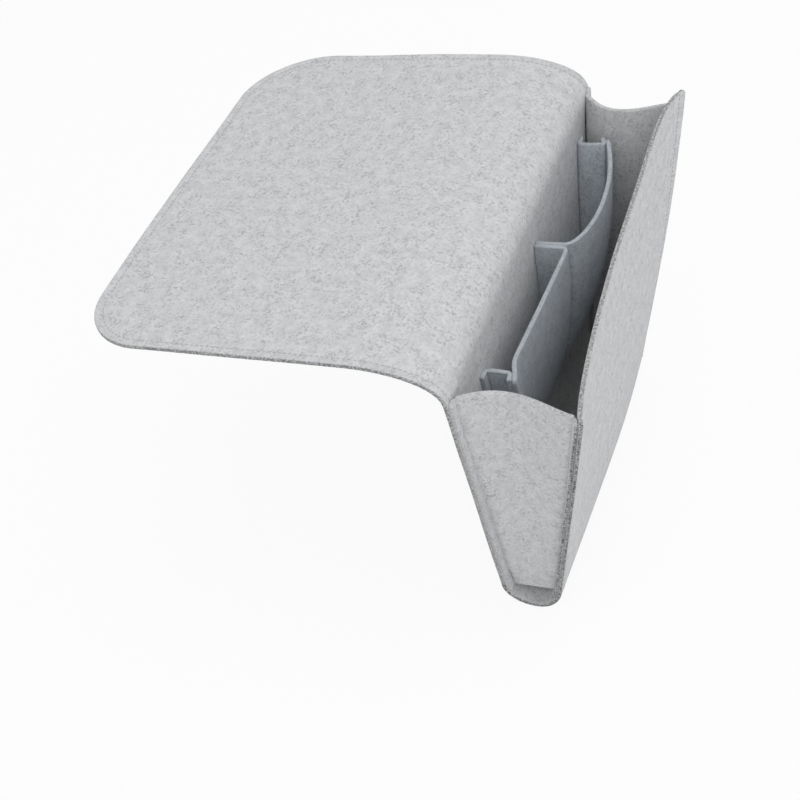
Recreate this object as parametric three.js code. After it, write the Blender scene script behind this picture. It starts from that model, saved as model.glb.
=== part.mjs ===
// A bedside caddy cut from one thick felt: a wide flap that lies on the bed, a soft shoulder where the
// same sheet turns down, a tapering pouch that the sheet folds round, two end gussets with flanges, and
// two small pockets on the inside of the back panel.
// Millimetres, +Z up. The origin is the middle of the flap's underside. +X runs along the bed towards the
// phone pocket, +Y points away from the bed, towards the front of the pouch.
import * as THREE from 'three';

// The felt
const FELT = 3;             // thickness of every piece
const SEAM_GAP = 0.3;       // clearance between two pieces that are sewn face to face or meet at a fold

// The flap and the shoulder
const LENGTH = 320;         // along the bed, at the flap and at the rim of the pouch
const FLAP_LENGTH = 180;    // flat part of the flap, from its free edge to the shoulder
const FLAP_CORNER = 52;     // radius of the flap's two free corners
const SHOULDER_RUN = 60;    // how far the shoulder reaches out while it turns down
const SHOULDER_DROP = 25;   // how far it drops meanwhile

// The pouch
const RIM_RISE = 1;         // the gussets' top edges stand this far above the end of the shoulder
const POUCH_DEPTH = 222;    // rim to the lowest point of the bottom fold
const BOTTOM_LENGTH = 242;  // along the bed, at the bottom fold
const BOTTOM_WIDTH = 42;    // outside, across the bottom fold
const BACK_LEAN = 7;        // how far the back panel leans towards the bed, from the shoulder to the fold
const FOLD_HEIGHT = 16;     // height of the rounded bottom fold, which is open at both ends as a cable outlet
const MOUTH_RIGHT = 78;     // clear width of the mouth at the +X end
const MOUTH_LEFT = 68;      // clear width of the mouth at the -X end
const MOUTH_BOW = 13;       // how far the front panel's rim leans in, halfway along
const GUSSET_FLANGE = 8;    // the gussets' turned edges, sewn to the two panels
const GUSSET_BOW = 12;      // how far a gusset bows into the pouch at its rim

// The pockets, measured from the inner face of the back panel to the middle of the pocket's wall
const POCKET_DROP = 22.5;        // pocket rims below the pouch's rim
const POCKET_HEIGHT = 120;       // pocket rim to bottom seam
const POCKET_GUSSET = 84;        // height of the small side gussets
const POCKET_FLANGE = 7;         // their turned edges
const POCKET_GUSSET_BOW = 2.5;   // how far they bow inwards
const DIVIDER_X = -17;           // the plane between the two pockets
const PHONE_INSET = 48;          // outer end of the phone pocket, in from the side edge of the back panel
const PHONE_DEPTH_END = 16.5;    // depth of the phone pocket at its outer end
const PHONE_DEPTH_DIVIDER = 21.5;
const BOTTLE_INSET = 24;         // outer end of the bottle pocket, in from the side edge of the back panel
const BOTTLE_DEPTH_END = 20;
const BOTTLE_DEPTH_DIVIDER = 22;
const BOTTLE_BELLY = 37;         // depth that the bottle pocket's wall is drawn out towards

// Places that follow from the sizes
const half = FELT / 2;
const shoulderStart = FLAP_LENGTH / 2;
const shoulderFront = shoulderStart + SHOULDER_RUN;
const shoulderEnd = half - SHOULDER_DROP;
const rim = shoulderEnd + RIM_RISE;
const foldStart = rim - POUCH_DEPTH + half + FOLD_HEIGHT;
const foldBack = shoulderFront - BACK_LEAN;
const foldFront = foldBack + BOTTOM_WIDTH - FELT;
const pocketRim = rim - POCKET_DROP;
const sewnOn = half + SEAM_GAP;
const layer = FELT + SEAM_GAP;

const lerp = THREE.MathUtils.lerp;
const alongX = new THREE.Vector3(1, 0, 0);
const alongY = new THREE.Vector3(0, 1, 0);
const alongZ = new THREE.Vector3(0, 0, 1);

// Half the length of the pouch at a height: both panels taper from the rim to the bottom fold.
function sideEdge(z) {
  const share = THREE.MathUtils.clamp((z - foldStart) / (rim - foldStart), 0, 1);
  return lerp(BOTTOM_LENGTH, LENGTH, share) / 2;
}

// Middle and inner face of the back panel at a height.
function backMiddle(z) {
  return THREE.MathUtils.mapLinear(Math.min(z, shoulderEnd), shoulderEnd, foldStart, shoulderFront, foldBack);
}
function backInner(z) {
  return backMiddle(z) + half;
}

// Unit normal of a surface place(u, v), from short steps along it.
const STEP = 1e-3;
function normalOf(place, u, v) {
  const [u0, u1] = [Math.max(u - STEP, 0), Math.min(u + STEP, 1)];
  const [v0, v1] = [Math.max(v - STEP, 0), Math.min(v + STEP, 1)];
  const acrossU = place(u1, v).sub(place(u0, v));
  const acrossV = place(u, v1).sub(place(u, v0));
  return acrossU.cross(acrossV).normalize();
}

// The point at a distance behind a surface.
function behind(place, u, v, distance) {
  return place(u, v).addScaledVector(normalOf(place, u, v), -distance);
}

// The point under a panel, straight towards the back panel, that leaves a distance square to the panel.
function under(place, u, v, distance) {
  const point = place(u, v);
  return point.setY(point.y - distance / Math.abs(normalOf(place, u, v).y));
}

// A sheet of felt whose middle layer is place(u, v), as one closed solid of columns by rows.
function feltSheet(place, columns, rows) {
  const positions = [];
  for (const side of [half, -half]) {
    for (let row = 0; row <= rows; row++) {
      for (let column = 0; column <= columns; column++) {
        const [u, v] = [column / columns, row / rows];
        positions.push(...behind(place, u, v, -side).toArray());
      }
    }
  }
  const faceSize = (columns + 1) * (rows + 1);
  const at = (column, row) => row * (columns + 1) + column;
  const triangles = [];
  for (let row = 0; row < rows; row++) {
    for (let column = 0; column < columns; column++) {
      const corners = [at(column, row), at(column + 1, row), at(column + 1, row + 1), at(column, row + 1)];
      const [a, b, c, d] = corners;
      triangles.push(a, b, c, a, c, d);
      const [e, f, g, h] = corners.map((corner) => corner + faceSize);
      triangles.push(e, g, f, e, h, g);
    }
  }
  const loop = [];
  for (let column = 0; column < columns; column++) loop.push(at(column, 0));
  for (let row = 0; row < rows; row++) loop.push(at(columns, row));
  for (let column = columns; column > 0; column--) loop.push(at(column, rows));
  for (let row = rows; row > 0; row--) loop.push(at(0, row));
  loop.forEach((here, index) => {
    const next = loop[(index + 1) % loop.length];
    triangles.push(next, here, here + faceSize, next, here + faceSize, next + faceSize);
  });
  const geometry = new THREE.BufferGeometry();
  geometry.setAttribute('position', new THREE.Float32BufferAttribute(positions, 3));
  geometry.setIndex(triangles);
  geometry.computeVertexNormals();
  return geometry;
}

// The flap: a flat sheet with two round free corners, resting on Z = 0.
function flap() {
  const [side, free, inner] = [LENGTH / 2, -FLAP_LENGTH / 2, shoulderStart - SEAM_GAP];
  const outline = new THREE.Shape();
  outline.moveTo(side, inner);
  outline.lineTo(-side, inner);
  outline.lineTo(-side, free + FLAP_CORNER);
  outline.absarc(-side + FLAP_CORNER, free + FLAP_CORNER, FLAP_CORNER, Math.PI, 1.5 * Math.PI);
  outline.absarc(side - FLAP_CORNER, free + FLAP_CORNER, FLAP_CORNER, 1.5 * Math.PI, 2 * Math.PI);
  outline.closePath();
  return new THREE.ExtrudeGeometry(outline, { depth: FELT, bevelEnabled: false, curveSegments: 10 });
}

// The shoulder: a quarter of an ellipse from the flap down to the back panel.
function shoulder(u, v) {
  const turn = v * Math.PI / 2;
  const y = shoulderStart + SHOULDER_RUN * Math.sin(turn);
  const z = half - SHOULDER_DROP * (1 - Math.cos(turn));
  return new THREE.Vector3(lerp(-LENGTH / 2, LENGTH / 2, u), y, z);
}

// The back panel: flat, from the shoulder to the bottom fold.
function backPanel(u, v) {
  const z = lerp(shoulderEnd - SEAM_GAP, foldStart, v);
  return new THREE.Vector3(lerp(-1, 1, u) * sideEdge(z), backMiddle(z), z);
}

// The front panel: it leans out from the bottom fold to the mouth, and its rim bows in between the ends.
function frontPanel(u, v) {
  const z = lerp(foldStart, rim, v);
  const across = lerp(-1, 1, u);
  const mouth = backInner(rim) + lerp(MOUTH_LEFT, MOUTH_RIGHT, u) + half;
  const y = lerp(foldFront, mouth, v) - MOUTH_BOW * v * v * (1 - across * across);
  return new THREE.Vector3(across * sideEdge(z), y, z);
}

// The bottom fold: the sheet turns from the back panel round to the front panel.
function bottomFold() {
  const top = foldStart - SEAM_GAP;
  const reach = FOLD_HEIGHT / 0.75;
  const mouthMiddle = backInner(rim) + (MOUTH_LEFT + MOUTH_RIGHT) / 2 + half;
  const lean = (mouthMiddle - foldFront) / (rim - foldStart);
  const curve = new THREE.CubicBezierCurve(
    new THREE.Vector2(foldBack, top),
    new THREE.Vector2(foldBack, top - reach),
    new THREE.Vector2(foldFront - lean * reach, top - reach),
    new THREE.Vector2(foldFront, top),
  );
  return (u, v) => {
    const { x: y, y: z } = curve.getPoint(v);
    return new THREE.Vector3(lerp(-1, 1, u) * BOTTOM_LENGTH / 2, y, z);
  };
}

// A gusset: two flanges sewn to the panels behind and in front of it, and a web between their creases that
// bows inwards, which is against the sign of outward. Each corner is a function of the height share v.
const BOW_SKEW = 1.5;       // over 1, the bow peaks nearer the back
const BOW_PEAK = BOW_SKEW ** BOW_SKEW / (1 + BOW_SKEW) ** (1 + BOW_SKEW);
const WEB_COLUMNS = 8;
const GUSSET_COLUMNS = WEB_COLUMNS + 2;
function gusset({ backEdge, backCrease, frontCrease, frontEdge, bow, outward }) {
  const path = (step, v) => {
    if (step <= 1) return backEdge(v).lerp(backCrease(v), step);
    if (step >= GUSSET_COLUMNS - 1) return frontCrease(v).lerp(frontEdge(v), step - GUSSET_COLUMNS + 1);
    const share = (step - 1) / WEB_COLUMNS;
    const sag = bow(v) * share * (1 - share) ** BOW_SKEW / BOW_PEAK;
    return backCrease(v).lerp(frontCrease(v), share).addScaledVector(alongX, -outward * sag);
  };
  return (u, v) => path(outward > 0 ? u * GUSSET_COLUMNS : (1 - u) * GUSSET_COLUMNS, v);
}

// An end gusset of the pouch, from the bottom fold up to the rim.
function endGusset(outward) {
  const height = (v) => lerp(foldStart, rim, v);
  const onBack = (inset) => (v) => {
    const z = height(v);
    return new THREE.Vector3(outward * (sideEdge(z) - inset), backInner(z) + sewnOn, z);
  };
  const onFront = (inset) => (v) => {
    const share = (sideEdge(height(v)) - inset) / sideEdge(height(v));
    return under(frontPanel, (1 + outward * share) / 2, v, layer);
  };
  return gusset({
    backEdge: onBack(0),
    backCrease: onBack(GUSSET_FLANGE),
    frontCrease: onFront(GUSSET_FLANGE),
    frontEdge: onFront(0),
    bow: (v) => GUSSET_BOW * v,
    outward,
  });
}

// A pocket's wall: u runs from the divider to the pocket's outer end, v from the bottom seam to the rim.
const WALL_FULLNESS = 2.5;
const BELLY_START = 1 / 8;
const BELLY_END = 5 / 8;
function pocketWall({ outward, inset, depths }) {
  const depthCurve = new THREE.CubicBezierCurve(
    new THREE.Vector2(0, depths[0]),
    new THREE.Vector2(BELLY_START, depths[1]),
    new THREE.Vector2(BELLY_END, depths[2]),
    new THREE.Vector2(1, depths[3]),
  );
  return (u, v) => {
    const z = lerp(pocketRim - POCKET_HEIGHT, pocketRim, v);
    const { x: along, y: depth } = depthCurve.getPoint(outward > 0 ? u : 1 - u);
    const start = DIVIDER_X + outward * (SEAM_GAP / 2 + half);
    const x = lerp(start, outward * (sideEdge(z) - inset), along);
    const fullness = 1 - (1 - v) ** WALL_FULLNESS;
    return new THREE.Vector3(x, backInner(z) + lerp(sewnOn, depth, fullness), z);
  };
}

// The small gusset that closes a pocket's outer end, sewn to the back panel and behind the pocket's wall.
function pocketGusset(wall, outward) {
  const lowest = 1 - POCKET_GUSSET / POCKET_HEIGHT;
  const onWall = (inset) => (v) => {
    const height = lerp(lowest, 1, v);
    const [outer, inner] = outward > 0 ? [1, 0] : [0, 1];
    const width = Math.abs(wall(outer, height).x - wall(inner, height).x);
    const edge = lerp(outer, inner, inset / (width * 3 * (1 - BELLY_END)));
    return under(wall, edge, height, layer);
  };
  const onBack = (inset) => (v) => {
    const point = onWall(inset)(v);
    return point.setY(backInner(point.z) + sewnOn);
  };
  return gusset({
    backEdge: onBack(0),
    backCrease: onBack(POCKET_FLANGE),
    frontCrease: onWall(POCKET_FLANGE),
    frontEdge: onWall(0),
    bow: () => POCKET_GUSSET_BOW,
    outward,
  });
}

// The divider arm of a pocket: the end of its wall, turned back to the back panel.
const ARM_POINTS = 8;
function dividerArm(wall, outward) {
  const end = outward > 0 ? 0 : 1;
  const outline = new THREE.Shape();
  outline.moveTo(backInner(pocketRim) + SEAM_GAP, pocketRim);
  for (let index = ARM_POINTS; index > 0; index--) {
    const { y, z } = under(wall, end, index / ARM_POINTS, sewnOn);
    outline.lineTo(y, z);
  }
  const lowest = outline.currentPoint.y;
  outline.lineTo(backInner(lowest) + SEAM_GAP, lowest);
  outline.closePath();
  const arm = new THREE.ExtrudeGeometry(outline, { depth: FELT, bevelEnabled: false });
  arm.applyMatrix4(new THREE.Matrix4().makeBasis(alongY, alongZ, alongX));
  const start = outward > 0 ? SEAM_GAP / 2 : -SEAM_GAP / 2 - FELT;
  return arm.translate(DIVIDER_X + start, 0, 0);
}

const outerFelt = { color: 0xc8cbce, roughness: 0.95, metalness: 0 };
const innerFelt = { color: 0xb9bfc5, roughness: 0.95, metalness: 0 };

const caddy = new THREE.Group();
function add(name, geometry, felt) {
  const mesh = new THREE.Mesh(geometry, new THREE.MeshStandardMaterial(felt));
  mesh.name = name;
  caddy.add(mesh);
}

add('mattress_flap', flap(), outerFelt);
add('shoulder_bend', feltSheet(shoulder, 1, 12), outerFelt);
add('back_panel', feltSheet(backPanel, 1, 1), outerFelt);
add('bottom_fold', feltSheet(bottomFold(), 1, 12), outerFelt);
add('front_panel', feltSheet(frontPanel, 12, 8), outerFelt);
add('right_gusset', feltSheet(endGusset(1), GUSSET_COLUMNS, 6), outerFelt);
add('left_gusset', feltSheet(endGusset(-1), GUSSET_COLUMNS, 6), outerFelt);

const phoneDepths = [0, BELLY_START, BELLY_END, 1].map((along) => lerp(PHONE_DEPTH_DIVIDER, PHONE_DEPTH_END, along));
const bottleDepths = [BOTTLE_DEPTH_DIVIDER, BOTTLE_BELLY, BOTTLE_BELLY, BOTTLE_DEPTH_END];
const pockets = [
  { name: 'phone_pocket', outward: 1, inset: PHONE_INSET, depths: phoneDepths },
  { name: 'bottle_pocket', outward: -1, inset: BOTTLE_INSET, depths: bottleDepths },
];
for (const pocket of pockets) {
  const wall = pocketWall(pocket);
  add(`${pocket.name}_wall`, feltSheet(wall, 10, 8), innerFelt);
  add(`${pocket.name}_gusset`, feltSheet(pocketGusset(wall, pocket.outward), GUSSET_COLUMNS, 4), innerFelt);
  add(`${pocket.name}_divider`, dividerArm(wall, pocket.outward), innerFelt);
}

export default caddy;
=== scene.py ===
import math

import bpy
import numpy as np
from bpy.props import FloatProperty, FloatVectorProperty, PointerProperty
from bpy.types import Operator, Panel, PropertyGroup
from mathutils import Matrix, Vector, noise


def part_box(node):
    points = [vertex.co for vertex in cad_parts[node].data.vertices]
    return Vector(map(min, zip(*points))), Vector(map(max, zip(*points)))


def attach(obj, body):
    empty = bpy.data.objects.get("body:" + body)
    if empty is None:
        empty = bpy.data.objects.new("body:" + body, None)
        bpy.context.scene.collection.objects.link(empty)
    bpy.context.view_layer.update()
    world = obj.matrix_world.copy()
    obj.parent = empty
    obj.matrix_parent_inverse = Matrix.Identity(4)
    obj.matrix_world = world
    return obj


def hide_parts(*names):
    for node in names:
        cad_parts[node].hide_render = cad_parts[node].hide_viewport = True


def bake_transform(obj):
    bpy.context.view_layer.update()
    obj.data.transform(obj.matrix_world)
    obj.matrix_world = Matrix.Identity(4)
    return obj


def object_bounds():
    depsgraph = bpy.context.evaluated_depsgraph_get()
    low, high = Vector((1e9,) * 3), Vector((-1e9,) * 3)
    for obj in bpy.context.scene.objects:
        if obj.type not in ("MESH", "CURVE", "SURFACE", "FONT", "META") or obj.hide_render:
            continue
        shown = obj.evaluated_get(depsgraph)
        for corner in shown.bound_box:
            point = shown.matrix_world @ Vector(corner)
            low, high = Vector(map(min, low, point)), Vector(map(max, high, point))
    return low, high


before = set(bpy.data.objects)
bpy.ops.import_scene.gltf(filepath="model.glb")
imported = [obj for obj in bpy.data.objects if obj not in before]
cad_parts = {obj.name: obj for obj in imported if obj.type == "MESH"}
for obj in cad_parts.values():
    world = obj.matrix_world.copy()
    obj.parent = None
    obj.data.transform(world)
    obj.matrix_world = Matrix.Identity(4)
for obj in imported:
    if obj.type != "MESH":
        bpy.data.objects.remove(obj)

bl_info = {
    "name": "Felt bedside caddy",
    "version": (1, 0, 0),
    "blender": (4, 5, 0),
    "location": "3D View > Sidebar > Caddy",
    "description": "Cuts, bends and sews the felt of a bedside caddy round its solids",
    "category": "Add Mesh",
}

# Places read from the solids, in metres
CAD_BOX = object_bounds()
MM = 0.001
flap_low, flap_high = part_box("mattress_flap")
shoulder_low, shoulder_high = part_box("shoulder_bend")
fold_low, fold_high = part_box("bottom_fold")

FELT = flap_high.z - flap_low.z
HALF = FELT / 2
SIDE = flap_high.x
FREE_EDGE = flap_low.y
SHOULDER_START = shoulder_low.y
SHOULDER_FRONT = shoulder_high.y - HALF
SHOULDER_END = shoulder_low.z
BOTTOM_SIDE = fold_high.x
FOLD_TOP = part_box("back_panel")[0].z
FOLD_BACK = fold_low.y + HALF
FOLD_FRONT = fold_high.y - HALF
FOLD_LOWEST = fold_low.z + HALF
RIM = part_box("right_gusset")[1].z
POCKET_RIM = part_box("phone_pocket_wall")[1].z
BACK_SLOPE = (SHOULDER_FRONT - FOLD_BACK) / (SHOULDER_END - FOLD_TOP)

# How finely the felt is meshed
EDGE_BAND = 14 * MM     # strip along a cut edge that is meshed closely, for the hem's groove
FLAT_BAND = 2 * MM      # strip along a cut edge that keeps its width where a cut narrows
EDGE_STEP = 1 * MM
PANEL_STEP = 4 * MM
POCKET_STEP = 3 * MM
PATH_STEP = 0.5 * MM    # spacing of the points that a bent path is softened on
NUDGE = 0.2 * MM        # step for slopes
TOUCH = 0.05 * MM       # left between two layers that are sewn together
SHOULDER_POINTS = 49
FOLD_POINTS, FOLD_ROWS = 65, 26         # along the bottom fold: on its curve and in its mesh
FLANGE_POINTS, WEB_POINTS = 5, 25       # across an end gusset's flange, and across any gusset's web
GUSSET_LEVELS, STRIP_LEVELS, SIDE_LEVELS = 44, 42, 30     # heights at which a bent path is worked out
WALL_POINTS, FINE_WALL_POINTS = 61, 201     # along a pocket's wall: for itself and for the gusset behind
SIDE_COLUMNS = 31
REAR_POINTS_ACROSS, REAR_POINTS_UP = 100, 90     # along the pockets' seams on the rear face


# Settings that a user would change

def amount(name, value, about, **kind):
    """A plain number's property, with a unit or subtype where one fits."""
    return FloatProperty(name=name, description=about, default=value, **kind)


def length(name, millimetres, about):
    """A length property, given in millimetres."""
    return amount(name, millimetres * MM, about, unit="LENGTH", precision=4)


def angle(name, degrees, about):
    """An angle property, given in degrees."""
    return amount(name, math.radians(degrees), about, subtype="ANGLE")


def colour(name, value, about):
    """A colour property, in linear light."""
    return FloatVectorProperty(
        name=name, description=about, default=value, subtype="COLOR", size=3, min=0, max=1
    )


class CaddyPouch(PropertyGroup):
    """Shape of the flap and the pouch."""
    right_corner: length("Flap corner, right", 44, "Radius of the flap's free corner at the right end")
    left_corner: length("Flap corner, left", 58, "Radius of the flap's free corner at the left end")
    flap_trim: length("Flap trim", 1.5, "How far the free edge stops short of the solid")
    flap_skew: length("Flap skew", 2, "How far the free edge turns, out at the right and in at the left")
    shoulder_lift: length("Shoulder lift", 2.6, "How far the left side stands up, from flap to shoulder")
    flap_droop: length("Flap droop", 2, "How far the flap's free corners hang")
    mouth_right: length("Mouth, right", 77.6, "Clear width of the mouth at the right end")
    mouth_left: length("Mouth, left", 67.1, "Clear width of the mouth at the left end")
    mouth_bow: length("Mouth bow", 8.8, "How far the front rim leans in, halfway along")
    seam_flare: length("Seam flare", 3, "How far the front panel's sewn side edges stand out")
    hang: length("Hang", 4.5, "How far the mouth and pockets tilt: down at the right, up at the left")
    belly: length("Belly", 2.2, "How far the front panel's left end swells")
    fold_out: length("Fold out", 2.6, "Swell of the bottom fold's front, which is most left of the middle")
    ear: length("Ear", 4.5, "Radius of the front panel's and the gussets' upper corners")
    flange: length("Flange", 8, "Width of the end gussets' sewn edges")
    gusset_bow: length("Gusset bow", 12, "How far an end gusset bows inwards at its rim")
    gusset_drop: length("Gusset drop", 5, "How far a gusset reaches down into the bottom fold")
    right_dip: length("Right gusset dip", 7, "How far the right gusset's rim falls from back to front")
    left_dip: length("Left gusset dip", 3, "How far the left gusset's rim falls from back to front")
    left_ear: length("Left gusset ear", 5.5, "How far the left gusset's back corner stands above the rim")
    crease: length("Crease", 0.8, "Softness of the gussets' creases")
    crease_press: length("Crease press", 0.95, "How far the felt is thinned along those creases")


class CaddyPockets(PropertyGroup):
    """Shape of the two inner pockets."""
    height: length("Height", 120, "Pocket rim to bottom seam")
    gusset_height: length("Gusset height", 84, "Height of the small side gussets")
    flange: length("Flange", 7, "Width of the side gussets' sewn edges")
    gusset_bow: length("Gusset bow", 0.6, "How far the side gussets bow inwards")
    crease: length("Crease", 0.6, "Softness of the side gussets' creases")
    divider: length("Divider", -17, "Place of the divider along the bed")
    turn: length("Turn", 2.4, "Softness of the turn from wall to divider")
    phone_inset: length("Phone inset", 48, "Outer end of the phone pocket, in from the side edge")
    phone_end: length("Phone depth, end", 15.7, "Depth of the phone pocket at its outer end")
    phone_divider: length("Phone depth, divider", 22.5, "Depth of the phone pocket at the divider")
    phone_flare: length("Phone flare", 6, "How far the phone pocket's outer end turns out")
    bottle_inset: length("Bottle inset", 24, "Outer end of the bottle pocket, in from the side edge")
    bottle_end: length("Bottle depth, end", 20, "Depth of the bottle pocket at its outer end")
    bottle_divider: length("Bottle depth, divider", 22, "Depth of the bottle pocket at the divider")
    bottle_belly: length("Bottle belly", 38.5, "Depth that the bottle pocket's wall is drawn out towards")


class CaddyCut(PropertyGroup):
    """How the felt is cut, pressed and sewn."""
    edge_round: length("Edge rounding", 0.75, "Radius of the felt's cut edges")
    edge_fray: length("Edge fray", 0.14, "Unevenness of the cut edges")
    settle: length("Settling", 0.8, "How far the felt strays from its ideal shape")
    settle_span: length("Settling span", 90, "Length of the waves of that straying")
    lump: length("Lumps", 0.07, "Unevenness of the felt's thickness")
    lump_span: length("Lump span", 11, "Size of those lumps")
    hem_inset: length("Hem inset", 5.6, "Stitch line, in from the cut edge")
    hem_press: length("Hem press", 0.55, "Depth of the groove that the stitches pull in each face")
    hem_width: length("Hem width", 1.6, "Half width of that groove")
    seam_press: length("Seam press", 0.25, "How far a seam thins each face of the felt along a sewn edge")
    pitch: length("Stitch pitch", 3.4, "From one stitch to the next")
    stitch: length("Stitch", 2.7, "Length of a stitch on the surface")
    thread: length("Thread", 0.24, "Radius of the sewing thread")


class CaddyFinish(PropertyGroup):
    """Colours of the felt and the thread."""
    felt: colour("Felt", (0.675, 0.677, 0.685), "Light heather grey")
    # Painted shade: the same felt as the rest, coloured darker and cooler for the shade inside the pouch
    pocket: colour("Pocket felt", (0.53, 0.57, 0.61), "The same felt, a little cooler")
    fleck: colour("Fleck", (0.2, 0.205, 0.21), "Dark fibres in the felt")
    pale: colour("Pale fibre", (0.82, 0.83, 0.84), "Pale fibres in the felt")
    raw_pale: colour("Raw edge, pale", (0.36, 0.355, 0.34), "Ground of a cut edge")
    raw_dark: colour("Raw edge, dark", (0.045, 0.046, 0.046), "Dark specks on a cut edge")
    thread: colour("Thread", (0.5, 0.51, 0.53), "Grey sewing thread")


class CaddyStudio(PropertyGroup):
    """Floor, lights and camera."""
    azimuth: angle("Azimuth", 118.81, "Camera's turn round the caddy, from the bed side")
    elevation: angle("Elevation", 41.83, "Camera's height above the horizon")
    roll: angle("Roll", -14.29, "Camera's tilt")
    distance: length("Distance", 1000.3, "Camera to the plane through the point that it looks at")
    lens: amount("Lens", 72.5, "Focal length in millimetres", unit="CAMERA")
    key: amount("Key light", 5.9, "Power of the large lamp above", unit="POWER")
    fill: amount("Fill light", 1.2, "Power of the lamp at the side", unit="POWER")
    sky: amount("Sky", 0.68, "Strength of the even light from all round")
    floor_glow: amount("Floor glow", 0.9, "Share of the floor that stays white in shadow", subtype="FACTOR")


# Surfaces that the felt follows

def mix(a, b, share):
    """The value at a share of the way from a to b."""
    return a + (b - a) * share


def ramp(distance, span):
    """Rises evenly from 0 to 1 over a span."""
    return np.clip(distance / span, 0, 1)


def eased(share):
    """A share that starts and ends gently."""
    return share * share * (3 - 2 * share)


SIDE_SWELL = 1.3 * MM     # how far the pouch's side edges curve out, halfway up


def side_edge(z):
    """Half the length of the pouch at a height."""
    share = ramp(z - FOLD_TOP, RIM - FOLD_TOP)
    return mix(BOTTOM_SIDE, SIDE, share) + SIDE_SWELL * 4 * share * (1 - share)


def above_fold(z):
    """Rises from 0 to 1 over a band above the bottom fold."""
    return ramp(z - FOLD_TOP, EDGE_BAND)


def below_shoulder(z):
    """Rises from 0 to 1 over a band below the shoulder."""
    return ramp(SHOULDER_END - z, EDGE_BAND)


def back_inner(z):
    """Inner face of the back panel at a height."""
    return SHOULDER_FRONT - BACK_SLOPE * (SHOULDER_END - np.minimum(z, SHOULDER_END)) + HALF


FLARE_RUN = 8 * MM     # how far in from a side edge the front panel has turned back most of its flare


def front_middle(pouch, across, z):
    """Middle layer of the front panel: across runs from -1 at the left edge to 1 at the right.

    The panel leans in along the mouth, over a broader stretch towards the left end."""
    share = (z - FOLD_TOP) / (RIM - FOLD_TOP)
    mouth = back_inner(RIM) + mix(pouch.mouth_left, pouch.mouth_right, (1 + across) / 2) + HALF
    swell = pouch.belly * (1 - across) * 2 * share * (1 - share)
    fold = FOLD_FRONT + pouch.fold_out * (1 - across**2) * (1 - across)
    full = mix(fold, mouth, share) + swell
    inside = (1 - np.abs(across)) * side_edge(z)
    flare = pouch.seam_flare * np.maximum(share, 0) * (1 - np.exp(-inside / FLARE_RUN))
    bow = (1 - across**2) * (1 + (1 - across) / 2 * (across**2 + across**4))
    return full - flare - pouch.mouth_bow * share * share * bow


def bezier(points, share):
    """A cubic Bezier curve through two ends with two handles."""
    a, b, c, d = points
    rest = 1 - share
    return a * rest**3 + 3 * b * rest * rest * share + 3 * c * rest * share * share + d * share**3


def keep_edges(across, cut_width, width, band=EDGE_BAND):
    """Places across a sheet that narrows: the bands along both edges keep their width, the rest shrinks."""
    inner = band + (across - band) * (width - 2 * band) / (cut_width - 2 * band)
    right = width - (cut_width - across)
    return np.where(across < band, across, np.where(across > cut_width - band, right, inner))


def pressed(cut, distance):
    """Depth of the groove that a line of stitches pulls, at a distance from the cut edge."""
    return cut.hem_press * np.exp(-((distance - cut.hem_inset) / cut.hem_width) ** 2)


SEAM_END, SEAM_FADE = 9 * MM, 4 * MM     # how far from a sewn edge the felt has its full thickness again


def thinned(cut, distance):
    """How far a seam presses each face of the felt in, at a distance from the sewn edge."""
    return cut.seam_press * ramp(SEAM_END - distance, SEAM_FADE)


def waves(points, span, shift):
    """Noise between -1 and 1 at each point."""
    flat = (points / span).reshape(-1, 3) + shift
    return np.array([noise.noise(Vector(point)) for point in flat]).reshape(points.shape[:-1])


# Places in the noise, in its own steps, so that no two uses of it look alike
SETTLE_SHIFTS = (0.3, 10.6, 20.9)
TOP_SHIFT, BOTTOM_SHIFT, FRAY_SHIFT = 0, 40, 7
FRAY_SPAN = 2 * MM     # length of the waves along a frayed edge


def settled(points, cut):
    """Felt is never quite true: the same slow waves move every layer, so that layers stay together."""
    strays = [waves(points, cut.settle_span, shift) for shift in SETTLE_SHIFTS]
    return points + cut.settle * np.stack(strays, axis=-1)


def spaced(span, step, close_start, close_end):
    """Distances along a cut, closer together near its cut edges."""
    near = np.arange(0, EDGE_BAND - EDGE_STEP / 2, EDGE_STEP)
    start = EDGE_BAND if close_start else 0
    end = span - EDGE_BAND if close_end else span
    parts = [np.linspace(start, end, max(2, round((end - start) / step) + 1))]
    if close_start:
        parts.insert(0, near)
    if close_end:
        parts.append(span - near[::-1])
    return np.concatenate(parts)


def rounded(across, along, corners):
    """Turns the square corners of a cut into arcs: each ring round a corner becomes a quarter circle."""
    across, along = across.copy(), along.copy()
    for right, top, radius in corners:
        edge = across.max() if right else across.min()
        end = along.max() if top else along.min()
        sign_across, sign_along = (-1 if right else 1), (-1 if top else 1)
        a, b = sign_across * (across - edge), sign_along * (along - end)
        here = (a < radius) & (b < radius)
        ring = np.minimum(a[here], b[here])
        leg = np.where(a[here] <= b[here], radius - b[here], a[here] + radius - 2 * ring)
        turn = leg / (radius - ring) * math.pi / 4
        across[here] = edge + sign_across * (radius - (radius - ring) * np.cos(turn))
        along[here] = end + sign_along * (radius - (radius - ring) * np.sin(turn))
    return across, along


def line_steps(path):
    """Distance of each point of a path from its start."""
    return np.concatenate([[0], np.cumsum(np.linalg.norm(np.diff(path, axis=0), axis=1))])


def path_length(path):
    """Length of a path."""
    return line_steps(path)[-1]


def sampled(path, places):
    """Points of a path at distances from its start."""
    steps = line_steps(path)
    return np.stack([np.interp(places, steps, line) for line in path.T], axis=1)


SOFT_REACH = 3     # how many times its softness a corner's rounding reaches


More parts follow.
